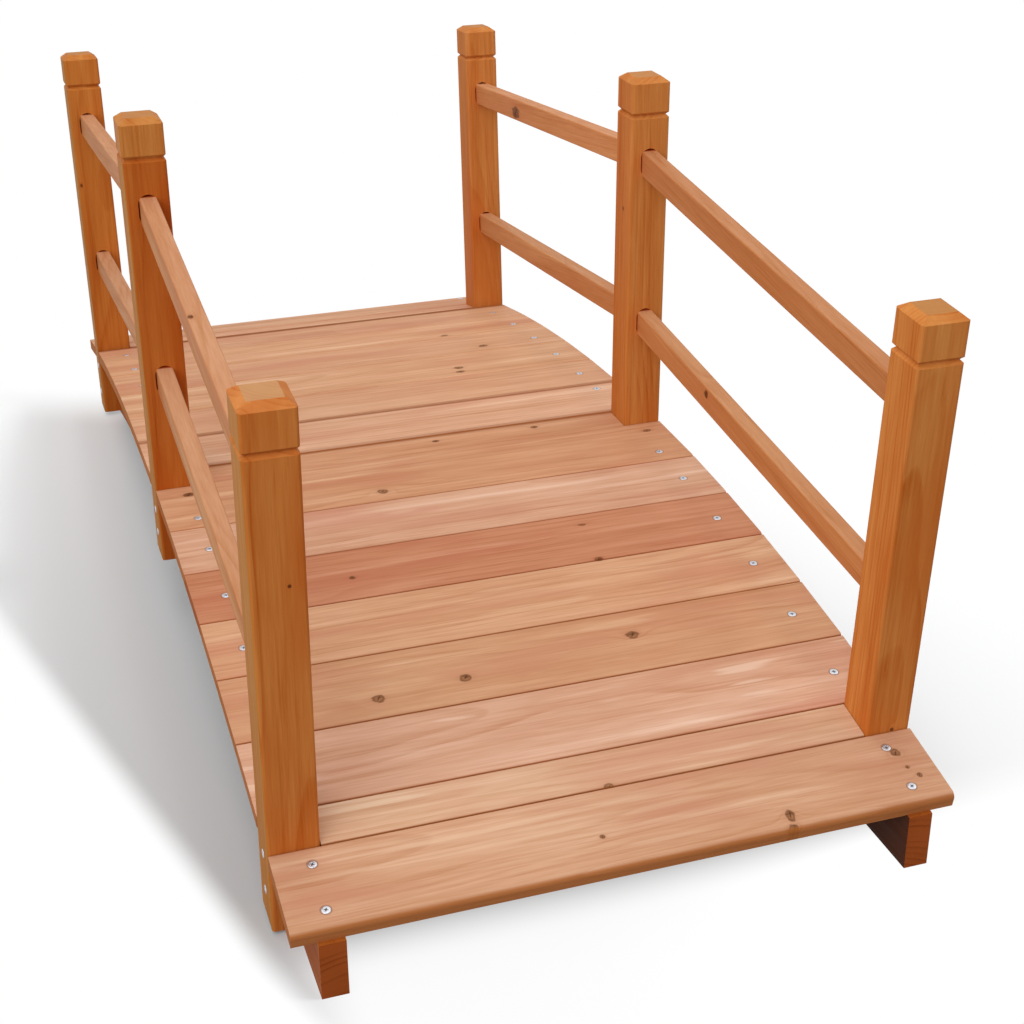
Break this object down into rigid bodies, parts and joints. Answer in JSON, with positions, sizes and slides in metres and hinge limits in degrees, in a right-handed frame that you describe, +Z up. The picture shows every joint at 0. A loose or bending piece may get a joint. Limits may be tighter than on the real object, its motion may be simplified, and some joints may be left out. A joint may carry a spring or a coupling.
{
  "type": "moon bridge",
  "caption": "Small arched wooden garden footbridge with a slatted deck on curved side beams, bevelled square posts and straight side rails.",
  "frame": {"origin": "on the floor under mid-span, midway between the two sides", "axes": "+X across the bridge to the right hand of someone stepping on at the near end, +Y along the bridge from the near end to the far end, +Z up"},
  "size_m": [0.6, 1.42, 0.561],
  "materials": {
    "deck_wood": "satin stained softwood, pale tan",
    "post_wood": "satin stained softwood, orange brown",
    "rail_wood": "satin stained softwood, light orange brown",
    "stringer_wood": "satin stained softwood, red brown"
  },
  "bodies": {
    "root": {"stringer_left": "stringer_wood", "stringer_right": "stringer_wood", "post_near_left": "post_wood", "post_mid_left": "post_wood", "post_far_left": "post_wood", "post_near_right": "post_wood", "post_mid_right": "post_wood", "post_far_right": "post_wood", "rail_top_near_left": "rail_wood", "rail_bottom_near_left": "rail_wood", "rail_top_far_left": "rail_wood", "rail_bottom_far_left": "rail_wood", "rail_top_near_right": "rail_wood", "rail_bottom_near_right": "rail_wood", "rail_top_far_right": "rail_wood", "rail_bottom_far_right": "rail_wood", "deck_board_01": "deck_wood", "deck_board_02": "deck_wood", "deck_board_03": "deck_wood", "deck_board_04": "deck_wood", "deck_board_05": "deck_wood", "deck_board_06": "deck_wood", "deck_board_07": "deck_wood", "deck_board_08": "deck_wood", "deck_board_09": "deck_wood", "deck_board_10": "deck_wood", "deck_board_11": "deck_wood", "deck_board_12": "deck_wood", "deck_board_13": "deck_wood", "deck_board_14": "deck_wood", "deck_board_15": "deck_wood", "deck_board_16": "deck_wood"}
  },
  "joints": []
}
